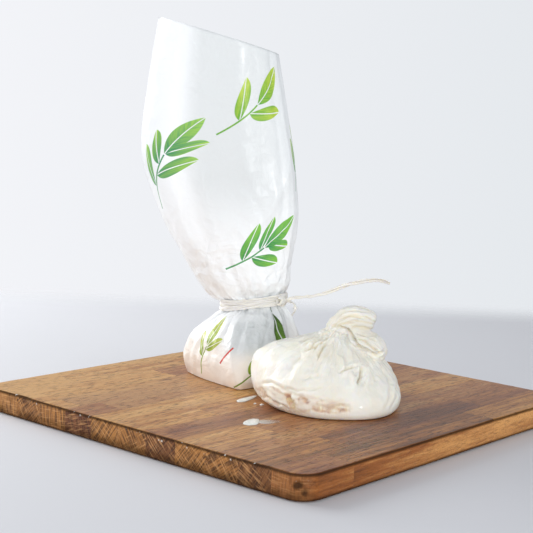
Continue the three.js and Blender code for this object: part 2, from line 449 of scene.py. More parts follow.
@dataclass(frozen=True)
class FreshCurd:
    """Stretched-curd skin, wet with whey: milky, glossy and fibrous, tinted where it tore, and painted with
    yellowish shade in its folds and with shadow at its foot.
    """

    stain_and_shade_attribute: str = "stain_and_shade"
    crease_shade_attribute: str = "fold"
    fibre_attribute: str = "fibre"

    def build(self) -> bpy.types.Material:
        """Make the material. Light sinks in a few millimetres, and the fibres follow the pull."""
        material, node = new_material("curd_skin_wet")
        place = node("TexCoord", out="Object")
        cloud = node("TexNoise", place, named={"Scale": 45.0, "Detail": 4.0})
        colour = node("ValToRGB", cloud, stops=((0.3, "#f0ecdf"), (0.5, "#f5f2e8"), (0.7, "#f9f7f0")))
        # Painted shade: the grooves and the knot's furrows are tinted a darker yellowish cream.
        fold = node("Attribute", out="Fac", attribute_name=self.crease_shade_attribute)
        colour = node("Mix", fold, named={UNDER: colour, OVER: linear("#e2cf92")}, **MIX)
        stain_and_shade = node("Attribute", out="Fac", attribute_name=self.stain_and_shade_attribute)
        tint = node("TexNoise", place, named={"Scale": 110.0, "Detail": 4.0, "Distortion": 1.2})
        stops = ((0.36, "#ae8064"), (0.44, "#d3aa85"), (0.54, "#dfcb9d"), (0.63, "#f4ead6"))
        tint = node("ValToRGB", tint, stops=stops)
        colour = node("Mix", stain_and_shade, named={UNDER: colour, OVER: tint}, **MIX)
        pulled = node("Attribute", out="Vector", attribute_name=self.fibre_attribute)
        fibres = node("TexNoise", pulled, named={"Scale": 1.0, "Detail": 3.0, "Roughness": 0.6})
        fine = node("TexNoise", place, named={"Scale": 420.0, "Detail": 3.0, "Roughness": 0.6})
        crinkle = node("TexNoise", pulled, named={"Scale": 0.55, "Detail": 4.0, "Distortion": 0.9})
        crinkle = node("Math SUBTRACT", crinkle, 0.5)
        crinkle = node("Math ABSOLUTE", crinkle)
        crinkle = node("MapRange", crinkle, 0.0, 0.12)
        height = node("Math MULTIPLY_ADD", fine, 0.3, fibres)
        height = node("Math MULTIPLY_ADD", crinkle, 0.35, height)
        crisp = node("SeparateXYZ", place).node.outputs[2]
        crisp = node("MapRange", crisp, 0.024, 0.05, 0.3, 0.75, interpolation_type="SMOOTHSTEP")
        bump = node("Bump", named={"Strength": crisp, "Distance": 0.0011, "Height": height})
        surface(
            node,
            Base_Color=colour,
            Roughness=0.42,
            IOR=1.42,
            Subsurface_Weight=0.6,
            Subsurface_Radius=(1.0, 0.85, 0.65),
            Subsurface_Scale=0.0035,
            Coat_Weight=0.32,
            Coat_Roughness=0.1,
            Normal=bump,
        )
        return material


@dataclass(frozen=True)
class Sprig:
    """One printed sprig, in millimetres of the flat film: round it from its back, and up from its foot."""

    around: float
    up: float
    turn: float  # degrees, of the stem from level
    stem: float
    leaf: float
    bend: float  # how fast the stem curves, per metre
    tones: tuple[str, str]  # of the ink, at each leaf's foot and at its tip


@dataclass(frozen=True)
class PrintedFilm:
    """White polypropylene film with a satin face, printed with green sprigs and one plain red bar."""

    uv_name: str
    sprigs: tuple[Sprig, ...]
    leaf_width: float = 0.34  # of the leaf's length
    leaf_angle: float = math.radians(38)
    line: float = 0.35 * MM  # half width of the white midribs
    tied: float = 66 * MM  # how far up the flat film its tie sits
    bar_place: tuple[float, float, float] = (0.128, 0.024, 0.0)
    bar_half: tuple[float, float] = (9.5 * MM, 0.7 * MM)
    bar_turn: float = math.radians(58)

    def sprig_group(self) -> bpy.types.NodeTree:
        """Make the group that draws one sprig: a stem, leaves on both sides by turns, and one at its tip."""
        group = bpy.data.node_groups.new("printed_sprig", "ShaderNodeTree")
        node = partial(add, group)
        sockets = {"Flat": "Vector", "Foot": "Vector", "Turn": "Float", "Stem": "Float", "Leaf": "Float"}
        sockets |= {"Bend": "Float", "Base": "Color", "Tip": "Color", "Under": "Color"}
        for name, kind in sockets.items():
            group.interface.new_socket(name, in_out="INPUT", socket_type="NodeSocket" + kind)
        group.interface.new_socket("Over", in_out="OUTPUT", socket_type="NodeSocketColor")
        given = node("NodeGroupInput").node.outputs
        stem, leaf = given["Stem"], given["Leaf"]
        away = node("VectorMath SUBTRACT", given["Flat"], given["Foot"])
        turn = {"Angle": given["Turn"]}
        turned = node("VectorRotate", away, named=turn, rotation_type="Z_AXIS", invert=True)
        along, offset, _ = node("SeparateXYZ", turned).node.outputs
        curve = node("Math MULTIPLY", along, along)
        curve = node("Math MULTIPLY", curve, given["Bend"])
        offset = node("Math SUBTRACT", offset, curve)
        side = node("Math ABSOLUTE", offset)
        upper = node("Math GREATER_THAN", offset, 0.0)

        # The leaves lean forward, so the stem is cut into slanting cells with one leaf in each.
        slope = math.sin(self.leaf_angle)
        pitch = node("Math MULTIPLY", leaf, 0.5)
        lean = node("Math MULTIPLY_ADD", side, -1 / math.tan(self.leaf_angle), along)
        cells = node("Math DIVIDE", lean, pitch)
        cells = node("Math MULTIPLY_ADD", upper, 0.5, cells)
        cell = node("Math FLOOR", cells)
        across = node("Math FRACT", cells)
        across = node("Math SUBTRACT", across, 0.5)
        across = node("Math ABSOLUTE", across)
        across = node("Math MULTIPLY", across, pitch)
        across = node("Math MULTIPLY", across, slope)
        reached = node("Math MULTIPLY", cell, pitch)
        reached = node("Math DIVIDE", reached, stem)
        size = node("Math MULTIPLY_ADD", reached, -0.35, 1.0)
        grown = node("Math MULTIPLY", leaf, size)
        out = node("Math MULTIPLY", side, 1 / slope)
        out = node("Math DIVIDE", out, grown)
        tip = node("Math SUBTRACT", along, stem)
        tip = node("Math DIVIDE", tip, leaf)

        # Each leaf is a lens with a white midrib: those beside the stem, and the one that ends it.
        masks = []
        for share, length, off in ((out, grown, across), (tip, leaf, side)):
            lens = node("Math SUBTRACT", 1.0, share)
            lens = node("Math MULTIPLY", share, lens)
            width = node("Math MULTIPLY", length, 2 * self.leaf_width)
            lens = node("Math MULTIPLY", lens, width)
            lens = node("Math SUBTRACT", lens, off)
            lens = node("MapRange", lens, 0.0, self.line)
            midrib = node("MapRange", off, 0.5 * self.line, 1.3 * self.line)
            masks.append(node("Math MULTIPLY", lens, midrib))
        leaves, last = masks
        for value, limit, test in ((reached, 0.93, "LESS_THAN"), (cell, 0.5, "GREATER_THAN")):
            leaves = node("Math MULTIPLY", leaves, node(f"Math {test}", value, limit))
        stalk = node("MapRange", side, 2 * self.line, self.line)
        for limit, test in ((0.0, "GREATER_THAN"), (stem, "LESS_THAN")):
            stalk = node("Math MULTIPLY", stalk, node(f"Math {test}", along, limit))
        mask = node("Math MAXIMUM", leaves, last)
        mask = node("Math MAXIMUM", mask, stalk)

        # The ink runs in streaks from the foot of each leaf to its tip.
        veins = node("Mapping", node("CombineXYZ", across, out, cell), named={"Scale": (1300.0, 1.6, 3.7)})
        veins = node("TexNoise", veins, named={"Scale": 1.0, "Detail": 2.0})
        blend = node("Math MAXIMUM", out, tip)
        blend = node("Math MULTIPLY_ADD", blend, 0.5, veins)
        blend = node("MapRange", blend, 0.35, 1.15)
        ink = node("Mix", blend, named={UNDER: given["Base"], OVER: given["Tip"]}, **MIX)
        ink = node("Mix", mask, named={UNDER: given["Under"], OVER: ink}, **MIX)
        node("NodeGroupOutput", ink)
        return group

    def build(self) -> bpy.types.Material:
        """Make the material. The print reads the film's own flat UV map, in metres."""
        material, node = new_material("film_white_printed")
        flat = node("UVMap", uv_map=self.uv_name)
        round_it, height, _ = node("SeparateXYZ", flat).node.outputs
        # Painted warm bounce light from the board, on the film near its foot.
        painted_bounce = node("MapRange", height, 0.06, 0.015, interpolation_type="SMOOTHSTEP")
        ink = node("Mix", painted_bounce, named={UNDER: linear("#f9fcfe"), OVER: linear("#fdf8f1")}, **MIX)
        # Painted shade: the film is greyer on its right-hand side, on the sleeve and on the flat face of the
        # pouch, and a little greyer at the sleeve's left.
        grey = node("MapRange", round_it, 0.114, 0.134, interpolation_type="SMOOTHSTEP")
        fade = node("MapRange", round_it, 0.215, 0.165, interpolation_type="SMOOTHSTEP")
        sleeve = node("MapRange", height, 0.1, 0.16, 0.0, 1.0, interpolation_type="SMOOTHSTEP")
        pouch = node("MapRange", height, 0.066, 0.052, interpolation_type="SMOOTHSTEP")
        foot = node("MapRange", height, 0.016, 0.036, interpolation_type="SMOOTHSTEP")
        pouch = node("Math MULTIPLY", pouch, foot)
        for part in (fade, node("Math MAXIMUM", sleeve, pouch)):
            grey = node("Math MULTIPLY", grey, part)
        left = node("Math SUBTRACT", round_it, 0.066)
        left = node("Math ABSOLUTE", left)
        left = node("MapRange", left, 0.05, 0.02, 0.0, 0.45, interpolation_type="SMOOTHSTEP")
        left = node("Math MULTIPLY", left, sleeve)
        grey = node("Math MAXIMUM", grey, left)
        ink = node("Mix", grey, named={UNDER: ink, OVER: linear("#dce0e1")}, **MIX)
        group = self.sprig_group()
        for sprig in self.sprigs:
            ink = node(
                "Group",
                node_tree=group,
                named={
                    "Flat": flat,
                    "Foot": (sprig.around * MM, sprig.up * MM, 0.0),
                    "Turn": math.radians(sprig.turn),
                    "Stem": sprig.stem * MM,
                    "Leaf": sprig.leaf * MM,
                    "Bend": sprig.bend,
                    "Base": linear(sprig.tones[0]),
                    "Tip": linear(sprig.tones[1]),
                    "Under": ink,
                },
            )
        away = node("VectorMath SUBTRACT", flat, self.bar_place)
        away = node("VectorRotate", away, named={"Angle": -self.bar_turn}, rotation_type="Z_AXIS")
        away = node("SeparateXYZ", node("VectorMath ABSOLUTE", away)).node.outputs
        inside = [node("Math LESS_THAN", away[i], self.bar_half[i]) for i in (0, 1)]
        inside = node("Math MULTIPLY", *inside)
        ink = node("Mix", inside, named={UNDER: ink, OVER: linear("#d2453c")}, **MIX)
        # Crumples: broad soft ones all over, and small flat facets that are strongest near the tie.
        place = node("TexCoord", out="Object")
        crumple = node("TexNoise", place, named={"Scale": 46.0, "Detail": 3.0, "Distortion": 1.4})
        crumple = node("Math SUBTRACT", crumple, 0.5)
        crumple = node("Math ABSOLUTE", crumple)
        bent = node("TexNoise", place, out="Color", named={"Scale": 40.0, "Detail": 3.0})
        bent = node("VectorMath MULTIPLY_ADD", bent, (0.03, 0.03, 0.03), place)
        facets = node("TexVoronoi", bent, named={"Scale": 85.0})
        crumple = node("Math MULTIPLY_ADD", facets, 0.55, crumple)
        near = node("Math SUBTRACT", height, self.tied)
        near = node("Math ABSOLUTE", near)
        near = node("MapRange", near, 0.015, 0.07, 1.0, 0.25, interpolation_type="SMOOTHSTEP")
        bump = node("Bump", named={"Strength": near, "Distance": 0.0032, "Height": crumple})
        surface(node, Base_Color=ink, Roughness=0.3, Coat_Weight=0.25, Coat_Roughness=0.14, Normal=bump)
        return material


@dataclass(frozen=True)
class DriedRaffia:
    """Pale raffia palm: flat dried leaf strips with fine lengthwise fibres and a soft sheen."""

    uv_name: str = "wrap"

    def build(self) -> bpy.types.Material:
        """Make the material. The fibres follow each strip by its UV map."""
        material, node = new_material("raffia_dried_strip")
        stretched = node("Mapping", node("UVMap", uv_map=self.uv_name), named={"Scale": (18.0, 3.0, 1.0)})
        fibres = node("TexNoise", stretched, named={"Scale": 1.0, "Detail": 3.0, "Roughness": 0.6})
        stops = ((0.28, "#e9e1cb"), (0.42, "#f5f1e6"), (0.58, "#fbf9f3"), (0.75, "#fdfcf9"))
        colour = node("ValToRGB", fibres, stops=stops)
        bump = node("Bump", named={"Strength": 0.6, "Distance": 0.0003, "Height": fibres})
        surface(
            node,
            Base_Color=colour,
            Roughness=0.5,
            Subsurface_Weight=0.3,
            Subsurface_Radius=(1.0, 0.9, 0.6),
            Subsurface_Scale=0.0015,
            Normal=bump,
        )
        return material


@dataclass(frozen=True)
class SpiltMilk:
    """Drops of thin cream: white where they stand thick, and clear where they thin out to a smear."""

    thick_attribute: str = "thick"

    def build(self) -> bpy.types.Material:
        """Make the material."""
        material, node = new_material("cream_spilt")
        thick = node("Attribute", out="Fac", attribute_name=self.thick_attribute)
        cloud = node("TexNoise", node("TexCoord", out="Object"), named={"Scale": 500.0, "Detail": 3.0})
        colour = node("ValToRGB", cloud, stops=((0.3, "#dcddd7"), (0.7, "#efefea")))
        surface(node, Base_Color=colour, Roughness=0.16, IOR=1.35, Alpha=thick)
        return material


# --------------------------------------------------------------------------------------------------
# Sub-assemblies
# --------------------------------------------------------------------------------------------------


@dataclass(frozen=True)
class Board:
    """The glued board: a slab with rounded corners, eased arrises, and the small dents of use."""

    corner_radius: float = 14 * MM
    top_easing: float = 1.6 * MM
    foot_easing: float = 2.4 * MM
    cell: float = 6 * MM
    dent_depth: float = 0.9 * MM

    def dent(self, vert: bmesh.types.BMVert, top: float) -> None:
        """Knock small dents into the upper arris.

        Args:
            vert: A vertex, which is moved.
            top: The level of the board's upper face.
        """
        near_top = smoothstep(top - 0.006, top - 0.001, vert.co.z)
        outward = Vector((vert.normal.x, vert.normal.y, 0.0))
        if near_top <= 0 or outward.length < 0.3:
            return
        hit = noise.noise(vert.co * 95 + Vector((3, 7, 1)))
        nick = max(hit - 0.33, 0.0) * 2.2 * self.dent_depth + 0.00018 * noise.noise(vert.co * 240)
        vert.co -= (outward.normalized() + Vector((0, 0, 0.6))) * nick * near_top

    def build(self, material: bpy.types.Material) -> bpy.types.Object:
        """Build the slab in the box of its CAD node.

        Args:
            material: The wood finish.

        Returns:
            The board, riding on its body.
        """
        low, high = (Vector(corner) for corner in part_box("board"))
        size = high - low
        bm = bmesh.new()
        middle = Matrix.Translation((low + high) / 2)
        bmesh.ops.create_cube(bm, size=1.0, matrix=middle @ Matrix.Diagonal((*size, 1)))
        bevel = partial(bmesh.ops.bevel, bm, affect="EDGES", profile=0.5, material=-1)
        upright = [e for e in bm.edges if abs(e.verts[0].co.z - e.verts[1].co.z) > size.z / 2]
        bevel(geom=upright, offset=self.corner_radius, segments=10)
        for level, easing, segments in ((high.z, self.top_easing, 4), (low.z, self.foot_easing, 2)):
            rim = [e for e in bm.edges if all(abs(v.co.z - level) < 1e-6 for v in e.verts)]
            bevel(geom=rim, offset=easing, segments=segments)
        for axis in (0, 1):
            for i in range(1, int(size[axis] / self.cell)):
                cut = low.copy()
                cut[axis] = low[axis] + i * self.cell
                normal = Vector((axis == 0, axis == 1, 0))
                whole = bm.verts[:] + bm.edges[:] + bm.faces[:]
                bmesh.ops.bisect_plane(bm, geom=whole, plane_co=cut, plane_no=normal)
        bm.normal_update()
        for vert in bm.verts:
            self.dent(vert, high.z)
        board = finished("board_staves", bm, material)
        for polygon in board.data.polygons:
            polygon.use_smooth = abs(polygon.normal.z) < 0.98
        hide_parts("board")
        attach(board, BODY)
        return board


@dataclass(frozen=True)
class Lobe:
    """One lobe of the knot: a bent roll of curd that long strands run along, from one end to the other."""

    route: Triples
    tall: tuple[float, ...]
    deep: tuple[float, ...]
    strands: int
    strand: float = 1.1  # half width of a strand
    blunt: float = 7.0  # how square the ends are, where 2 is round
    sections: int = 19  # rings that the fibres are read from

    def frame(self, along: float) -> tuple[Vector, Vector, Vector]:
        """Middle of the roll along of the way, its upward direction and its sideways one."""
        before, after = max(along - 0.01, 0.0), min(along + 0.01, 1.0)
        ahead = curve_point(self.route, after) - curve_point(self.route, before)
        upward = ahead.cross(Vector((0, 1, 0))).normalized()
        return curve_point(self.route, along), upward, upward.cross(ahead).normalized()

    def girth(self, along: float) -> tuple[float, float]:
        """Half height and half depth of the roll along of the way."""
        cap = max(1 - abs(2 * along - 1) ** self.blunt, 0.0) ** 0.5
        return tuple(cap * spline_at(sizes, along * (len(sizes) - 1)) for sizes in (self.tall, self.deep))

    def point(self, turn: float, along: float) -> Vector:
        """Point of the roll's surface, along of the way from its first end, at turn round its bent axis."""
        middle, upward, sideways = self.frame(along)
        tall, deep = self.girth(along)
        return middle + upward * tall * math.sin(turn) + sideways * deep * math.cos(turn)

    def rings(self) -> list[Ring]:
        """Its sections, with their axes over their girth."""
        found = []
        for i in range(self.sections):
            along = (i + 1) / (self.sections + 1)
            middle, upward, sideways = self.frame(along)
            tall, deep = self.girth(along)
            found.append((along, middle, upward / tall, sideways / deep))
        return found

    def strand_mesh(self, index: int) -> bmesh.types.BMesh:
        """Make one strand as a thin tube that swells in its middle."""
        turn = TAU * (index + 0.6 * noise.noise(Vector((index * 1.7, self.route[0][2], 0)))) / self.strands
        width = self.strand * (1 + 0.5 * noise.noise(Vector((index * 2.3, 5.1, self.route[0][0]))))

        def place(a: float, t: float) -> Vector:
            """Point of the tube."""
            along = 0.02 + 0.96 * t
            sway = turn + 0.25 * noise.noise(Vector((along * 3, index, 2)))
            swell = width * max(math.sin(math.pi * t), 0.0) ** 0.5
            centre = self.point(sway, along)
            ahead = (self.point(sway, along + 0.01) - self.point(sway, along - 0.01)).normalized()
            beside = ahead.cross(centre - self.frame(along)[0]).normalized()
            outward = beside.cross(ahead)
            return centre + beside * swell * math.cos(TAU * a) + outward * swell * 0.75 * math.sin(TAU * a)

        return wrapped(10, 26, place)

    def meshes(self) -> list[bmesh.types.BMesh]:
        """The lobe's closed meshes: its core and its strands."""
        core = wrapped(32, 24, lambda a, t: self.point(TAU * a, t))
        return [core, *(self.strand_mesh(index) for index in range(self.strands))]


class Gather(Enum):
    """The generations of pleats below the knot.

    Each has its count, wander and depth, how far from the neck it starts, is full, fades and ends, the share
    of it that runs all round, and how far to the left the rest starts and is full.
    """

    BROAD = (11, 0.45, 1.0, (6, 12, 14, 32), 0.3, (0.1, 0.9))
    FINE = (23, 0.3, 0.55, (5, 9, 14, 24), 0.0, (0.0, 0.7))


@dataclass(frozen=True)
class BareBurrata:
    """The unwrapped cheese: a slumped pouch of curd with its knot, and a torn patch at its foot."""

    right: float = 31.0
    away: float = -28.0
    stations: tuple[Station, ...] = (
        Station(0, 43, 45, 61, 23, 0, 11),
        Station(4, 48.5, 48, 63, 25, 0, 11),
        Station(12, 51.6, 47.6, 61.5, 26, 0, 11),
        Station(21, 51.8, 43.4, 55, 25.5, 0, 11),
        Station(30, 49.5, 36, 44, 25, 0, 10),
        Station(36.5, 40, 26, 32, 22, 0, 7),
        Station(41, 26, 18.5, 22, 18, 0, 4),
        Station(45.5, 11, 14, 14, 14, 0, 3),
        Station(49, 5, 9.5, 9, 10, 0, 2),
    )
    lobes: tuple[Lobe, ...] = (
        Lobe(
            ((-0.5, 2, 44.5), (5.4, 1.5, 51.4), (12.6, 1, 55.4), (20.6, 1, 55.8), (29.2, 1, 53.6)),
            (5, 7.0, 8.7, 8.2, 7.2),
            (7, 9.5, 11, 10, 8.5),
            26,
        ),
        Lobe(
            ((9, 0, 44), (16, -1.5, 44), (23.4, -2.5, 42), (29, -2.5, 37.6), (33.2, -1.5, 30.6)),
            (3, 5.6, 7.4, 8.0, 6.2),
            (4, 8, 10, 10.5, 9),
            22,
        ),
    )
    neck: tuple[float, float] = (11.0, 1.0)
    voxel: float = 0.6
    corner: float = 2.75  # how boxy the foot's outline is at the front right, where 2 is an oval
    knot_foot: float = 38.0  # the lobes lie above this level
    knot_blend: tuple[float, float] = (44.0, 48.0)  # where the pouch's skin turns into the knot's
    eye_back: float = 810.0  # from the eye that the grooves are laid out for to their picture plane
    eye_up: float = 191.7
    eye_left: float = 40.0
    # Grooves in the skin as seen from the front: their depth, half width and (right, up) places on the plane
    # through the cheese's own axis. A ridge has a negative depth.
    grooves: tuple[tuple[float, float, Pairs], ...] = (
        (0.9, 1.0, ((-16.7, 34.3), (-8.2, 37.6), (-5.4, 40.6))),
        (0.8, 0.9, ((-13.8, 34.4), (-11.1, 38.9), (-6.2, 42.1), (0.9, 44.5))),
        (0.9, 1.1, ((-8.5, 28.7), (-6.6, 34.7), (-2.5, 41.5))),
        (0.7, 1.0, ((-19.8, 40.1), (-9.9, 43.4), (-0.7, 48.1))),
        (0.5, 0.8, ((-17.5, 37.6), (-10.6, 41), (-3.6, 44.6))),
        (0.5, 0.8, ((-11.4, 33.4), (-8.6, 38.2), (-3.2, 42.6))),
        (0.8, 1.0, ((7.1, 20.5), (9.9, 22.6), (13.4, 24.1), (18.5, 25.1))),
        (1.0, 1.0, ((20.7, 26), (21.6, 22), (21.2, 18.2), (18.6, 13.4))),
        (-0.8, 2.4, ((13.6, 21), (16.4, 16.6), (16.6, 11))),
        (-0.7, 2.2, ((24.4, 26), (26, 19), (24.6, 11))),
        (1.1, 1.1, ((12, 49.4), (15.1, 51.4), (19.4, 51.3), (25, 50.2), (30, 49.6))),
        (0.9, 1.0, ((6, 56), (11, 58.6), (17, 58.8), (22, 57))),
        (0.7, 0.9, ((3, 52), (9, 53.6), (15, 54.6))),
        (0.8, 0.9, ((15.3, 45.1), (22.7, 41.7), (28.7, 37.6), (33.2, 34.1))),
        (0.6, 0.8, ((17, 47.6), (24.7, 45.4), (31, 42))),
        (1.0, 0.8, ((26.7, 34.2), (31.1, 33.7), (36, 36.6))),
        (1.2, 0.9, ((1, 51.2), (4.8, 51.2), (8.7, 50.2), (13.4, 47.6),
                    (15.8, 42.3), (20.4, 38.2), (27, 34.8), (34.2, 31))),
        (-0.9, 1.3, ((-6, 46.6), (2.4, 48.9), (7.7, 47.8), (11.6, 45.2), (13.9, 40.4), (18.8, 36))),
        (0.3, 1.2, ((33.4, 30.1), (41.8, 23), (45.8, 14.3), (45.6, 4), (41.7, -4.4))),
        (0.35, 1.3, ((29.2, 28.4), (37.5, 20.7), (41.6, 12.7), (41.7, 3.8), (38, -3.8))),
        (0.3, 1.3, ((23.3, 31.2), (29.5, 21.1), (31.7, 13.8))),
        (-0.6, 3.6, ((-9.6, 37.2), (-15, 28.2), (-21.8, 19.1), (-25.2, 11.5))),
        (-0.4, 2.4, ((-5.3, 38.9), (-7.9, 31.4), (-9.2, 26.4))),
        (0.4, 2.8, ((-17.3, 31), (-22.9, 26.4), (-27.6, 18.8))),
        (-0.4, 2.6, ((-2, 28.7), (-4.5, 19.7), (-7, 12.2))),
        (-0.45, 2.2, ((2.1, 34.7), (8.1, 29.1), (10, 20.3))),
        (0.35, 1.5, ((-20.2, 13.9), (-13, 16.4), (-4.4, 17.5))),
        (0.4, 1.2, ((-30.1, 8.4), (-21.3, 6.5), (-12.7, 7.6), (-4, 9.4))),
        (0.5, 1.0, ((-45.3, 7.8), (-42.2, 2), (-37, -1.6), (-32.5, -3.6), (-25.9, -6.3))),
        (0.8, 1.1, ((-26.3, 3.3), (-24.6, -1.1), (-22.3, -4.7))),
        (0.5, 0.9, ((-18.2, 1.4), (-14.5, 0.1))),
        (0.5, 1.1, ((-7.8, -2.6), (-0.5, -4.6), (6.7, -2.8), (13.9, -1.8))),
        (0.4, 1.3, ((-46, 9.5), (-38.9, 11.5), (-26.3, 5.4), (-15.3, 2.1), (-2, 0.2))),
    )
    # Stains in the torn skin, laid out in the same way, with their strength and half width. The fourth and
    # the fifth, along the foot under the belly, are painted shadow.
    stains_and_shade: tuple[tuple[float, float, Pairs], ...] = (
        (0.5, 2.6, ((-45.3, 6.2), (-42.2, 1.4), (-37, -1.6), (-32.5, -3.6))),
        (0.95, 2.4, ((-27.3, 2.8), (-25.4, -1.1), (-22.3, -4.2))),
        (0.8, 1.7, ((-19.2, 1), (-13.5, -0.4))),
        (0.4, 3.0, ((-6.8, -1.6), (0.5, -2.2), (7.7, -2))),
        (0.66, 2.2, ((-9, -5.4), (-2, -6.2), (6, -5.8), (13, -4.8))),
        (0.4, 1.3, ((-39, 8.6), (-31, 4.4), (-27, 3.6))),
        (0.4, 1.7, ((-33, -5.6), (-24, -7.8), (-13, -7.4))),
        (0.2, 4.8, ((-42, 4), (-20, 0), (4, -3.4))),
    )

    def body_point(self, a: float, t: float) -> Vector:
        """Point of the plain pouch, a of the way round and t of the way up."""
        sole = 0.08
        up = max(t - sole, 0.0) / (1 - sole)
        station = station_at(self.stations, up)
        power = self.corner + (2 - self.corner) * smoothstep(8, 30, station.z) if a > 0.75 else 2.0
        point, _ = outline_point(station, TAU * a, 0.0, power)
        if t < sole:
            return point.lerp(Vector((0, station.away, 0)), 1 - t / sole)
        if up > 0.97:
            point = point.lerp(Vector((*self.neck, point.z)), (up - 0.97) / 0.03)
        return point

    def seen(self, point: Vector) -> tuple[float, float]:
        """Where a point appears on the picture plane that the grooves are laid out on."""
        scale = self.eye_back / (self.eye_back + point.y)
        right = (point.x + self.eye_left) * scale - self.eye_left
        return right, self.eye_up - (self.eye_up - point.z) * scale

    def from_neck(self, point: Vector) -> tuple[float, float]:
        """Angle of a point round the neck's axis, and its distance from it."""
        dx, dy = point.x - self.neck[0], point.y - self.neck[1]
        return math.atan2(dy, dx), math.hypot(dx, dy)

    @staticmethod
    def distance(x: float, y: float, line: Pairs) -> tuple[float, float]:
        """Distance from a point to a line of points, and how far along the line it is nearest."""
        best, place = 1e9, 0.0
        for i, ((x0, y0), (x1, y1)) in enumerate(zip(line, line[1:])):
            dx, dy = x1 - x0, y1 - y0
            f = min(max(((x - x0) * dx + (y - y0) * dy) / (dx * dx + dy * dy), 0.0), 1.0)
            found = math.hypot(x - x0 - f * dx, y - y0 - f * dy)
            if found < best:
                best, place = found, (i + f) / (len(line) - 1)
        return best, place

    def pulled(self, point: Vector, rings: list[Ring]) -> tuple[Vector, float]:
        """Work out where a point lies in the fibres, which run from the neck or along the lobes.

        Args:
            point: The point.
            rings: The sections of all the lobes.

        Returns:
            Its place, across the fibres in x and y and along them in z, and how much of it is knot.
        """
        if point.z > self.knot_foot:
            found = []
            for number, (along, middle, upward, sideways) in enumerate(rings):
                away = point - middle
                high, wide = away.dot(upward), away.dot(sideways)
                near = away.length_squared * (1 + high * high + wide * wide)
                found.append((near, number, high, wide, along))
            _, number, high, wide, along = min(found)
            if math.hypot(high, wide) < 1.4:
                lobe = number // Lobe.sections
                place = ring_point(math.atan2(high, wide), 9, along * 2.2 + 9 * lobe)
                return place, smoothstep(*self.knot_blend, point.z)
        angle, reach = self.from_neck(point)
        return ring_point(angle, 13, reach / 9 + 30), 0.0

    def sculpt(self, point: Vector, normal: Vector) -> tuple[float, float, float]:
        """Work out the pleats, folds and tears at one point of the skin.

        Args:
            point: Where it is.
            normal: Which way the skin faces there.

        Returns:
            How far the skin moves out, how much of its colour is tear tint and painted foot shadow, and how
            much painted shade its grooves get.
        """
        angle, reach = self.from_neck(point)
        on_pouch = 1 - smoothstep(*self.knot_blend, point.z)
        # Pleats run down from the neck and die out on the way. They are deepest at the left.
        warp = noise.noise(ring_point(angle, 2, reach / 22))
        move = 0.0
        for count, wander, depth, (start, full, fades, ends), share, left in (g.value for g in Gather):
            crest = abs(math.sin(count * (angle + warp * wander)))
            gather = smoothstep(start, full, reach) * (1 - smoothstep(fades, ends, reach))
            gather *= share + (1 - share) * smoothstep(*left, -math.cos(angle - 0.3))
            move += gather * on_pouch * depth * (crest**0.8 - 0.7)
        # The skin's long soft undulations follow the way it was stretched.
        streak = noise.fractal(ring_point(angle, 6, reach / 28), 0.9, 2.1, 3)
        move += 0.42 * streak * on_pouch * smoothstep(8, 20, reach) * smoothstep(4, 22, point.z)
        move += 0.9 * noise.fractal(point / 22 + Vector((4, 1, 8)), 0.8, 2.0, 3) * smoothstep(1, 9, point.z)
        move += 0.15 * noise.fractal(point / 4.2, 0.8, 2.0, 2) * smoothstep(0.5, 4, point.z)
        stain_and_shade = crease_shade = 0.0
        if normal.y < 0.35:
            x, y = self.seen(point)
            x += 0.7 * noise.noise(point / 4)
            y += 0.7 * noise.noise(point / 4 + Vector((9, 0, 0)))
            for depth, half, line in self.grooves:
                far, place = self.distance(x, y, line)
                if far < 3.5 * half:
                    fade = 0.3 + 0.7 * smoothstep(0, 0.25, place) * (1 - smoothstep(0.75, 1.0, place))
                    groove, banks = bell(far, 0, 0.7 * half), 0.5 * bell(far, 1.9 * half, half)
                    move += (1.4 + 0.6 * on_pouch) * fade * depth * (banks - groove)
                    # Painted shade: the grooves get a darker yellowish tint.
                    crease_shade = max(crease_shade, 0.45 * fade * depth * groove)
            for strength, half, line in self.stains_and_shade:
                far, _ = self.distance(x, y, line)
                ragged = 1 + 1.2 * noise.fractal(Vector((x / 5, y / 2.6, 3)), 0.8, 2.1, 3)
                stain_and_shade = max(stain_and_shade, strength * min(bell(far, 0, half) * ragged, 1.0))
            torn = smoothstep(0.05, 0.5, stain_and_shade)
            if torn > 0:
                strata = Vector((x / 9, y / 3.6, point.y / 9))
                layers = noise.ridged_multi_fractal(strata, 0.9, 2.1, 3, 0.7, 1.8)
                move += torn * (-0.7 + 0.4 * layers) * smoothstep(0.4, 3, point.z)
        return move, stain_and_shade, crease_shade * (0.75 if point.z > self.knot_foot else 0.5)

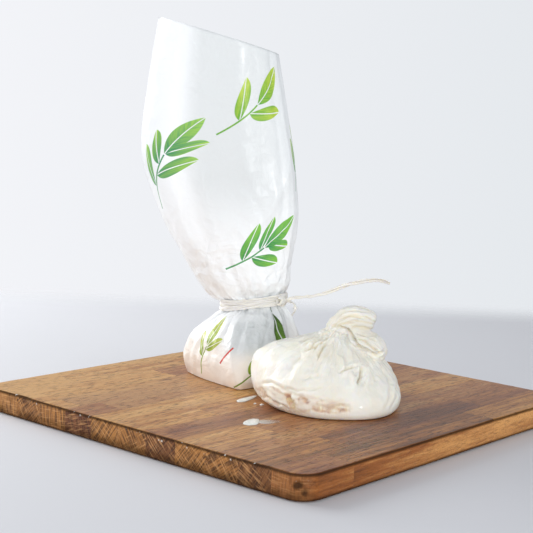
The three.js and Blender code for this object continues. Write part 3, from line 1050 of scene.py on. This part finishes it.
    def build(self, material: bpy.types.Material) -> bpy.types.Object:
        """Build the cheese in one skin.

        Args:
            material: The curd finish.

        Returns:
            The cheese, riding on its body.
        """
        parts = [wrapped(120, 90, self.body_point)]
        for lobe in self.lobes:
            parts += lobe.meshes()
        cheese = finished("burrata_bare", joined(parts), material)
        fuse = cheese.modifiers.new("fuse", "REMESH")
        fuse.mode = "VOXEL"
        fuse.voxel_size = self.voxel
        apply_modifiers(cheese)
        bm = bmesh.new()
        bm.from_mesh(cheese.data)
        axes = {"use_axis_x": True, "use_axis_y": True, "use_axis_z": True}
        for _ in range(2):
            bmesh.ops.smooth_vert(bm, verts=bm.verts, factor=0.5, **axes)
        bm.normal_update()
        stain_and_shade_layer = bm.verts.layers.float.new(FreshCurd.stain_and_shade_attribute)
        crease_shade_layer = bm.verts.layers.float.new(FreshCurd.crease_shade_attribute)
        fibre = bm.verts.layers.float_vector.new(FreshCurd.fibre_attribute)
        rings = [ring for lobe in self.lobes for ring in lobe.rings()]
        for vert, (move, stain_and_shade, crease_shade) in [(v, self.sculpt(v.co, v.normal)) for v in bm.verts]:
            place, in_knot = self.pulled(vert.co, rings)
            bent = place + Vector((1, 1, 0)) * 0.8 * in_knot * noise.noise(vert.co / 5)
            furrow = noise.fractal(bent * (0.9 - 0.35 * in_knot), 0.8, 2.0, 2)
            # Painted shade in the knot's furrows, as a darker yellowish tint.
            crease_shade = max(crease_shade, 0.3 * in_knot * smoothstep(0.12, 0.55, -furrow))
            vert[stain_and_shade_layer], vert[crease_shade_layer], vert[fibre] = stain_and_shade, crease_shade, place
            move += furrow * (0.15 * smoothstep(8, 26, vert.co.z) + 0.8 * in_knot)
            vert.co += vert.normal * move
            vert.co.z = max(vert.co.z, 0.0)
        bmesh.ops.smooth_vert(bm, verts=bm.verts, factor=0.4, **axes)
        bm.transform(standing(self.right, self.away))
        for face in bm.faces:
            face.smooth = True
        bm.to_mesh(cheese.data)
        bm.free()
        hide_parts("burrata")
        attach(cheese, BODY)
        return cheese


class Pleat(Enum):
    """The generations of pleats at the bag's neck: count, depth, and how far they run below and above it."""

    FINE = (31, 1.9, 7.0, 6.0)
    MIDDLE = (13, 2.2, 12.0, 10.0)
    BROAD = (6, 1.4, 18.0, 20.0)


@dataclass(frozen=True)
class Crease:
    """One crease of the film: a line from one place to another, as degrees round and millimetres up."""

    start: tuple[float, float]
    end: tuple[float, float]
    out: float  # how far the film stands out there, or in where it is negative
    half: float  # half width, in degrees

    def lift(self, degrees: float, z: float) -> float:
        """How far the crease moves the film at a place."""
        low, high = sorted((self.start[1], self.end[1]))
        along = (z - self.start[1]) / (self.end[1] - self.start[1])
        if not low - 6 < z < high + 6:
            return 0.0
        middle = self.start[0] + along * (self.end[0] - self.start[0])
        fade = smoothstep(low - 6, low + 4, z) * (1 - smoothstep(high - 4, high + 6, z))
        far = abs((degrees - middle + 180) % 360 - 180) / self.half
        return self.out * fade * math.exp(-far)


@dataclass(frozen=True)
class FilmBag:
    """The printed film bag: a full pouch on the board, its tied neck, and the open sleeve over it."""

    right: float = -28.0
    away: float = 44.0
    stations: tuple[Station, ...] = (
        Station(0, 40, 40, 53, 34, 0, 7),
        Station(6, 42, 42.5, 54, 36, 0, 6),
        Station(15, 43.4, 44, 52, 37, 0, 5),
        Station(26, 40.2, 42.5, 45, 36, 0, 3),
        Station(36, 33.2, 38.5, 34, 32, 0, 1),
        Station(45, 24, 34, 22, 22, 0.04),
        Station(51, 17.6, 29.6, 15, 14, 0.11),
        Station(56.6, 17.6, 29.2, 15, 14, 0.12),
        Station(60, 25.5, 29.6, 15.5, 14.5, 0.09),
        Station(67, 33.4, 31.4, 18.5, 17.5, 0.03),
        Station(86, 45.4, 32.7, 21, 20),
        Station(118, 62.4, 35.5, 25, 24),
        Station(158, 76.4, 31, 27, 26, -0.02),
        Station(202, 73.6, 23.5, 30, 29, -0.12),
        Station(242.5, 67.7, 16.8, 33, 32, -0.262),
    )
    # How boxy the outline is, by height: below 2 it has corners at the sides and at the front.
    powers: Pairs = ((0, 1.22), (20, 1.4), (36, 1.7), (46, 2.0), (90, 2.0), (160, 2.3))
    # Degrees run from the right towards the back, so the left is 180 and the front 270.
    creases: tuple[Crease, ...] = (
        Crease((266, 0), (252, 44), 3.0, 7),
        Crease((166, 0), (172, 30), 2.0, 13),
        Crease((186, 6), (196, 46), 1.2, 4),
        Crease((192, 2), (204, 47), -1.1, 3.5),
        Crease((199, 4), (212, 47), 1.2, 4),
        Crease((205, 6), (220, 48), -0.9, 3.5),
        Crease((214, 20), (230, 49), 0.9, 4),
        Crease((236, 26), (240, 50), 1.5, 3),
        Crease((244, 34), (238, 50), -2.0, 3),
        Crease((262, 28), (266, 50), -2.0, 3),
        Crease((270, 34), (262, 51), 1.6, 2.6),
        Crease((286, 20), (278, 50), 1.4, 3),
        Crease((292, 30), (297, 50), -1.8, 3),
        Crease((176, 0), (182, 40), -1.2, 3),
        Crease((316, 4), (309, 51), -3.4, 3.4),
        Crease((324, 4), (316, 51), 2.8, 5),
        Crease((338, 8), (332, 49), -1.8, 5),
        Crease((352, 4), (348, 49), 1.6, 5),
        Crease((180, 100), (180, 244), 0.9, 8),
        Crease((318, 60), (326, 244), -0.8, 4),
        Crease((334, 60), (338, 244), 0.9, 6),
        Crease((352, 60), (356, 244), 0.8, 6),
        Crease((330, 150), (300, 112), 1.2, 6),
        Crease((324, 132), (306, 92), -0.9, 5),
        Crease((258, 150), (252, 70), 0.7, 5),
        Crease((226, 96), (232, 190), 0.7, 8),
        Crease((300, 60), (276, 112), 1.0, 5),
        Crease((312, 92), (284, 146), -0.9, 6),
        Crease((322, 86), (330, 160), 0.9, 5),
        Crease((246, 58), (228, 104), 0.9, 7),
        Crease((262, 57), (262, 88), -1.0, 5),
        Crease((278, 57), (284, 92), 0.9, 5),
        Crease((205, 62), (196, 112), -0.9, 6),
    )
    neck_level: float = 54.8
    plug_station: float = 7.0  # which of its stations the crushed film inside follows
    film: float = 0.25
    around: int = 190
    along: int = 190
    sole: float = 0.06  # the share of the rows that lies under the pouch
    flat_width: float = 283.0  # the film tube laid open
    flat_sole: float = 40.0  # how far the flat film runs under the pouch
    flat_slack: float = 12.0  # what the pouch's bulge takes up of the flat film
    sole_middle: tuple[float, float] = (0.5, -3.0)
    neck_middle: tuple[float, float] = (6.5, 0.5)
    uv_name: str = "flat_film"

    def profile(self, t: float) -> tuple[float, float]:
        """Share of the way up the stations, and share of the outline, for a row of the mesh."""
        if t < self.sole:
            return 0.0, t / self.sole
        return (t - self.sole) / (1 - self.sole), 1.0

    def level(self, number: float) -> Station:
        """The bag's level at a station's number, or between two."""
        return station_at(self.stations, number / (len(self.stations) - 1))

    def walled(self, skin: bpy.types.Object) -> bpy.types.Object:
        """Give a skin the film's real thickness, on its inside."""
        wall = skin.modifiers.new("wall", "SOLIDIFY")
        wall.thickness = self.film * MM
        wall.offset = -1
        return skin

    def skin_point(self, a: float, t: float) -> Vector:
        """Point of the film, a of the way round from its back and t of the way up from its sole."""
        up, share = self.profile(t)
        station = station_at(self.stations, up)
        angle = TAU * (a + 0.25)
        lift = station.z - self.neck_level
        out = 0.0
        for number, (count, depth, below, above) in enumerate(p.value for p in Pleat):
            reach = math.exp(-((abs(lift) / (above if lift > 0 else below)) ** 1.6))
            wander = noise.noise(ring_point(angle, 2.2, 3.0 * number + lift / 50))
            crest = abs(math.sin(math.pi * (count * a + wander * 0.9)))
            out -= depth * reach * (1 - crest**0.75)
        for crease in self.creases:
            out += crease.lift(360 * (a + 0.25), station.z)
        # The sleeve hangs in soft facets and the whole film is slightly crumpled.
        facet = noise.noise(ring_point(angle, 2.4, station.z / 150 + 7))
        out += 1.5 * facet * smoothstep(70, 130, station.z)
        crumple = noise.ridged_multi_fractal(ring_point(angle, 3, station.z / 24), 0.9, 2.1, 4, 0.8, 2.0)
        near = math.exp(-((lift / 30) ** 2))
        out += (crumple - 1.1) * (0.3 + 1.1 * near) * smoothstep(2, 12, station.z)
        power = next(
            p0 + (p1 - p0) * smoothstep(z0, z1, station.z)
            for (z0, p0), (z1, p1) in zip(self.powers, self.powers[1:])
            if station.z <= z1 or z1 == self.powers[-1][0]
        )
        point, _ = outline_point(station, angle, out, power)
        if share < 1:
            point = Vector((*self.sole_middle, 0.0)).lerp(point, share)
        point.z = max(point.z, 0.0)
        return point

    def row_height(self, t: float) -> float:
        """How far up the flat film a row lies, in millimetres from the foot."""
        up, share = self.profile(t)
        if share < 1:
            return -self.flat_sole * (1 - share)
        station = station_at(self.stations, up)
        return station.z + self.flat_slack * smoothstep(16, 46, station.z)

    def build(self, material: bpy.types.Material) -> bpy.types.Object:
        """Build the bag as one film tube with a real thickness.

        Args:
            material: The printed film finish.

        Returns:
            The bag, riding on its body.
        """
        bm = wrapped(self.around, self.along, self.skin_point, self.uv_name)
        uv = bm.loops.layers.uv[self.uv_name]
        for face in bm.faces:
            for loop in face.loops:
                a, t = loop[uv].uv
                loop[uv].uv = (a * self.flat_width * MM, self.row_height(t) * MM)
        bmesh.ops.recalc_face_normals(bm, faces=bm.faces)
        bag = self.walled(finished("film_bag", bm, material, standing(self.right, self.away)))
        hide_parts("wrapper")
        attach(bag, BODY)
        return bag

    def plug_point(self, a: float, t: float) -> Vector:
        """Point of the crushed film that fills the neck, a of the way round and t of the way out."""
        station = self.level(self.plug_station)
        angle = TAU * a
        pleat = abs(math.sin(17 * angle / 2 + 2.2 * t + 1.4 * noise.noise(ring_point(angle, 1, t))))
        point, _ = outline_point(station, angle, -1.6)
        point = Vector((*self.neck_middle, station.z)).lerp(point, t)
        point.z += 3.6 * pleat * t + 4.0 * (1 - t) - 1.5
        return point

    def build_plug(self, material: bpy.types.Material) -> bpy.types.Object:
        """Build the crushed film inside the neck, which closes the pouch under the open sleeve."""
        bm = wrapped(170, 20, self.plug_point, self.uv_name, (0.0, 0.0))
        plug = self.walled(finished("film_gathers", bm, material, standing(self.right, self.away)))
        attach(plug, BODY)
        return plug


@dataclass(frozen=True)
class RaffiaTie:
    """The raffia round the neck: three uneven turns, a small knot at the front right, and its two ends."""

    bag: FilmBag
    turns: Triples = ((-2.0, 3.4, 0.6), (0.5, 4.2, -0.5), (2.7, 3.2, 0.8))
    knot_angle: float = -0.68
    neck_station: float = 6.7  # which of the bag's stations it lies at
    loops: tuple[float, ...] = (-0.5, 0.25, 0.9)  # how each of the knot's loops leans
    loop_reach: tuple[float, float] = (2.2, 3.3)  # half depth and half height of a loop
    loop_gap: float = 1.1
    end_width: float = 4.4
    tail_route: Triples = (
        (29, -12.5, 57.6), (33.4, -15.2, 57.6), (36, -16.8, 55), (35.8, -17.6, 51.6), (34, -18.2, 48.6)
    )
    end_route: Triples = (
        (35.2, -14.9, 61.2), (40, -16, 61.6), (48, -16.6, 62.8), (57, -16.4, 65.4), (67, -15.6, 69.4),
        (78, -14.6, 73.2), (88, -14, 75.3), (96, -14, 75.6), (102.5, -14.4, 73.8),
    )
    bridge_route: Triples = ((27.6, -12.2, 56.6), (30.4, -13.2, 58.6), (32.8, -14, 60.2), (35, -14.8, 61.1))

    @staticmethod
    def strip(
        route: Callable[[float], Vector],
        width: Callable[[float], float],
        tilt: Callable[[float], float],
        steps: int,
        thick: float = 0.55,
        ruffle: float = 0.5,
    ) -> bmesh.types.BMesh:
        """Make a flat strip of raffia along a route.

        Args:
            route: Centre of the strip, from 0 to 1.
            width: Its width on the way.
            tilt: Turn of its flat side from upright, on the way.
            steps: Faces along it.
            thick: Its thickness.
            ruffle: How deep its lengthwise folds are.

        Returns:
            The closed strip.
        """

        def place(a: float, t: float) -> Vector:
            """Point of the strip's surface."""
            centre = route(t)
            ahead = (route(min(t + 0.004, 1.0)) - route(max(t - 0.004, 0.0))).normalized()
            outward = ahead.cross(Vector((0, 0, 1))).normalized()
            upward = outward.cross(ahead)
            turn = tilt(t)
            flat = upward * math.cos(turn) + outward * math.sin(turn)
            face = outward * math.cos(turn) - upward * math.sin(turn)
            side = math.cos(TAU * a)
            fold = ruffle * (math.cos(side * 4.1 + 9 * noise.noise(centre / 17)) - 0.4)
            return centre + flat * width(t) * 0.5 * side + face * (thick * math.sin(TAU * a) * 0.5 + fold)

        return wrapped(16, steps, place)

    @staticmethod
    def uneven(widest: float, t: float) -> float:
        """Width of a turn, which swells and narrows on its way round."""
        return widest * (1 + 0.15 * math.sin(11 * t))

    def turn_route(self, lift: float, sway: float) -> Callable[[float], Vector]:
        """Route of one turn round the neck, lift above its middle and swaying up and down."""
        neck = self.bag.level(self.neck_station)

        def route(t: float) -> Vector:
            """Point of the turn."""
            angle = self.knot_angle + TAU * t
            point, _ = outline_point(neck, angle, 1.0 + 0.35 * math.sin(3 * angle + lift))
            point.z += lift + sway * math.sin(angle * 2 + lift)
            return point

        return route

    def knot_loop(self, index: int) -> bmesh.types.BMesh:
        """Make one loop of the knot, round the crossing of the strips."""
        neck = self.bag.level(self.neck_station)
        centre, outward = outline_point(neck, self.knot_angle, 3.6)
        beside = Vector((-outward.y, outward.x, 0.0))
        lean = self.loops[index]
        axis = (beside * math.cos(lean) + Vector((0, 0, 1)) * math.sin(lean)).normalized()
        other = axis.cross(outward).normalized()
        heart = centre + axis * (index - 1) * self.loop_gap
        deep, high = self.loop_reach

        def place(a: float, t: float) -> Vector:
            """Point of the loop's skin."""
            spoke = outward * deep * math.cos(TAU * t) + other * high * math.sin(TAU * t)
            wide = 1.5 + 0.3 * math.sin(5 * TAU * t + index)
            skin = axis * wide * math.cos(TAU * a) + spoke.normalized() * 0.8 * math.sin(TAU * a)
            return heart + spoke + skin

        return wrapped(12, 32, place)

    def build(self, material: bpy.types.Material) -> bpy.types.Object:
        """Build the turns, the knot and the short tail.

        Args:
            material: The raffia finish.

        Returns:
            The tie, riding on its body.
        """
        parts = []
        for lift, widest, sway in self.turns:
            width = partial(self.uneven, widest)
            parts.append(self.strip(self.turn_route(lift, sway), width, lambda t: 0.1, 120))
        parts += [self.knot_loop(index) for index in range(len(self.loops))]
        tail, bridge = (partial(curve_point, route) for route in (self.tail_route, self.bridge_route))
        parts.append(self.strip(tail, lambda t: 3.0 + 1.2 * t, lambda t: 0.6 + 1.4 * t, 40, ruffle=0.4))
        parts.append(self.strip(bridge, lambda t: 2.6, lambda t: 0.35, 20, 0.9, 0.3))
        tie = finished("raffia_tie", joined(parts), material, standing(self.bag.right, self.bag.away))
        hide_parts("tie")
        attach(tie, BODY)
        return tie

    def build_end(self, material: bpy.types.Material) -> bpy.types.Object:
        """Build the long loose end as a free strip that springs out of the knot.

        Args:
            material: The raffia finish.

        Returns:
            The end, riding on its body.
        """
        route = self.end_route

        def width(t: float) -> float:
            """Bundled at the knot, and opening towards the tip."""
            opening = 0.55 + 0.45 * smoothstep(0.1, 0.7, t)
            return self.end_width * opening * (1 - 0.25 * smoothstep(0.9, 1.0, t))

        bm = self.strip(partial(curve_point, route), width, lambda t: 0.35 + 0.5 * t, 110, 0.7, 0.45)
        bmesh.ops.recalc_face_normals(bm, faces=bm.faces)
        place = standing(self.bag.right, self.bag.away)
        end = finished("raffia_end", bm, material, place)
        path = [place @ curve_point(route, i / 24) for i in range(25)]
        length = sum((b - a).length for a, b in zip(path, path[1:]))
        LOG.info("raffia end: %.1f mm long", length / MM)
        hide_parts("tie_end")
        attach(end, BODY)
        tuple(path[0])
        [tuple(point) for point in path]
        return end


@dataclass(frozen=True)
class Spill:
    """One low pool of cream on the board, in the food's millimetres. It is thin towards one end."""

    name: str
    right: float
    away: float
    length: float
    width: float
    turn: float  # degrees
    height: float = 0.9
    thin: float = 0.0  # how much of it is only a watery smear

    def build(self, material: bpy.types.Material) -> bpy.types.Object:
        """Build the pool as a low dome with an uneven edge."""

        def place(a: float, t: float) -> Vector:
            """Point of the pool, t of the way from its middle to its edge."""
            angle = TAU * a
            wave = 1 + 0.16 * noise.noise(ring_point(angle, 1.6, self.right))
            pear = 1 - 0.3 * math.cos(angle)
            x = self.length / 2 * t * wave * math.cos(angle)
            y = self.width / 2 * t * wave * pear * math.sin(angle)
            return Vector((x, y, self.height * (1 - t**2) ** 0.6 if t < 1 else 0.0))

        bm = wrapped(48, 14, place)
        thick = bm.verts.layers.float.new(SpiltMilk.thick_attribute)
        for vert in bm.verts:
            fade = smoothstep(0.5, -0.35, vert.co.x / self.length) if self.thin else 1.0
            edge = smoothstep(0.0, 0.35 * self.height, vert.co.z)
            vert[thick] = (0.25 + 0.75 * edge) * (1 - self.thin * (1 - 0.5 * fade))
        turn = Matrix.Rotation(math.radians(self.turn), 4, "Z")
        board_top = Matrix.Translation((0, 0, -CONTACT_GAP))
        pool = finished(self.name, bm, material, standing(self.right, self.away) @ board_top @ turn)
        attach(pool, BODY)
        return pool


@dataclass(frozen=True)
class Studio:
    """The stage: a pale floor that fades out, soft light from the left, and the camera."""

    floor_half: float = 0.56
    eye: tuple[float, float, float] = (0.54245, -0.64584, 0.20797)
    heading: float = math.radians(40.945)
    pitch: float = math.radians(7.139)
    roll: float = math.radians(2.2225)
    lens: float = 83.93
    sky: float = 0.62
    # Each lamp's name, its place to the right, away and up in metres, its size and power, and whether it
    # lights and glints.
    lamps: tuple[tuple[str, float, float, float, float, float, bool, bool], ...] = (
        ("key_left", -0.9, 0.5, 0.6, 0.8, 9.7, True, True),
        ("fill_front", -0.4, -1.3, 0.16, 0.9, 7.9, True, False),
        ("fill_right", 0.95, -0.85, 0.15, 0.8, 7.0, True, False),
        ("glint_front", 0.5, -0.85, 0.22, 0.06, 0.9, False, True),
    )

    def build_camera(self) -> None:
        """Set up the camera."""
        data = bpy.data.cameras.new("camera")
        data.sensor_width = 36
        data.lens = self.lens
        data.clip_start = 0.01
        camera = bpy.data.objects.new("camera", data)
        bpy.context.scene.collection.objects.link(camera)
        turn = Matrix.Rotation(self.heading, 4, "Z") @ Matrix.Rotation(math.pi / 2 - self.pitch, 4, "X")
        camera.matrix_world = Matrix.Translation(self.eye) @ turn @ Matrix.Rotation(self.roll, 4, "Z")
        bpy.context.scene.camera = camera

    def build_floor(self) -> None:
        """Lay the floor, which fades out at its border so that no edge shows."""
        bm = bmesh.new()
        bmesh.ops.create_grid(bm, x_segments=8, y_segments=8, size=self.floor_half)
        material, node = new_material("floor_matt_paper")
        place = node("TexCoord", out="Object")
        turned = node("VectorRotate", place, named={"Angle": -FACING}, rotation_type="Z_AXIS")
        right, away, _ = node("SeparateXYZ", turned).node.outputs
        # Painted shade: the floor is darker towards the right and the front, where the light falls off.
        lean = node("Math MULTIPLY_ADD", right, -2.5, away)
        colour = node("MapRange", lean, -0.6, 0.6)
        colour = node("ValToRGB", colour, stops=((0.0, "#d4d5da"), (1.0, "#dfe0e4")))
        right, away = (node("Math ABSOLUTE", part) for part in (right, away))
        edge = node("Math MAXIMUM", right, away)
        border = (self.floor_half, self.floor_half * 0.72)
        solid = node("MapRange", edge, *border, interpolation_type="SMOOTHERSTEP")
        surface(node, Base_Color=colour, Roughness=0.6, Alpha=solid)
        floor = finished("floor", bm, material, Matrix.Rotation(FACING, 4, "Z"))

    def build_light(self) -> None:
        """Set up the world and the soft lamps."""
        scene = bpy.context.scene
        scene.view_settings.view_transform = "Standard"
        world = bpy.data.worlds.new("studio")
        world.use_nodes = True
        world.node_tree.nodes.clear()
        node = partial(add, world.node_tree)
        look = node("TexCoord", out="Generated")
        right = (math.cos(FACING), math.sin(FACING), 0.0)
        sweep = node("VectorMath DOT_PRODUCT", look, right, out="Value")
        tint = node("MapRange", sweep, -0.25, 0.25)
        colour = node("ValToRGB", tint, stops=((0.0, "#f4f5f9"), (1.0, "#e4e8ec")))
        seen = node("LightPath", out="Is Camera Ray")
        strength = node("MapRange", seen, 0.0, 1.0, self.sky, 1.0)
        node("OutputWorld", node("Background", colour, strength))
        scene.world = world
        for name, right_of, away, up, size, power, lights, glints in self.lamps:
            lamp = bpy.data.lights.new(name, "AREA")
            lamp.size = size
            lamp.energy = power
            holder = bpy.data.objects.new(name, lamp)
            bpy.context.scene.collection.objects.link(holder)
            holder.visible_diffuse = lights
            holder.visible_glossy = glints
            place = Matrix.Rotation(FACING, 4, "Z") @ Vector((right_of, away, up))
            aim = (Vector((0, 0, 0.08)) - place).to_track_quat("-Z", "Y")
            holder.matrix_world = Matrix.Translation(place) @ aim.to_matrix().to_4x4()


SPRIGS = (
    Sprig(142, 186, 34, 36, 36, 4.0, ("#3d9a2e", "#c6d84a")),
    Sprig(86, 132, 66, 44, 36, -3.0, ("#0f8466", "#a5d24e")),
    Sprig(130, 92, 16, 38, 34, 4.0, ("#158a5c", "#8fce3c")),
    Sprig(200, 148, 60, 36, 30, 3.0, ("#0f8a78", "#b9d44a")),
    Sprig(96, 4, 64, 26, 30, 4.0, ("#6f9a1e", "#d2d866")),
    Sprig(136, 1, 38, 26, 30, -4.0, ("#4f8a14", "#b6c43a")),
    Sprig(171, 64, -76, 4, 33, 1.0, ("#062f0a", "#6d9a1c")),
    Sprig(14, 150, 30, 40, 32, 3.0, ("#3d9a2e", "#c6d84a")),
    Sprig(40, 84, 120, 40, 32, 3.0, ("#158a5c", "#a5d24e")),
    Sprig(250, 190, -40, 40, 32, 3.0, ("#0f8a78", "#b9d44a")),
    Sprig(262, 14, 50, 34, 30, 3.0, ("#6f9a1e", "#d2d866")),
    Sprig(30, 6, 60, 30, 30, 3.0, ("#4f8a14", "#b6c43a")),
)

SPILLS = (
    Spill("cream_pool_side", -23.2, -28.6, 25, 6.2, 59),
    Spill("cream_pool_front", -18.8, -89.6, 18, 9.5, 74),
    Spill("cream_smear", -8.5, -87, 17, 10, 20, 0.3, 0.9),
    Spill("cream_drop_a", -12.9, -43.8, 3.4, 2.6, 40),
    Spill("cream_drop_b", -17.6, -41.8, 2.0, 1.6, 10),
)


def main() -> None:
    """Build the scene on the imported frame."""
    logging.basicConfig(level=logging.INFO, format="%(message)s")
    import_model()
    studio = Studio()
    studio.build_camera()
    bag = FilmBag()
    raffia = DriedRaffia().build()
    tie = RaffiaTie(bag)
    film = PrintedFilm(bag.uv_name, SPRIGS).build()
    cream = SpiltMilk().build()
    pieces = [
        tie.build_end(raffia),
        tie.build(raffia),
        Board().build(OiledHardwood().build()),
        BareBurrata().build(FreshCurd().build()),
        bag.build(film),
        bag.build_plug(film),
        *(spill.build(cream) for spill in SPILLS),
    ]
    for piece in pieces:
        LOG.info("%s: %d faces", piece.name, len(piece.data.polygons))
    studio.build_floor()
    studio.build_light()


if __name__ == "__main__":
    main()
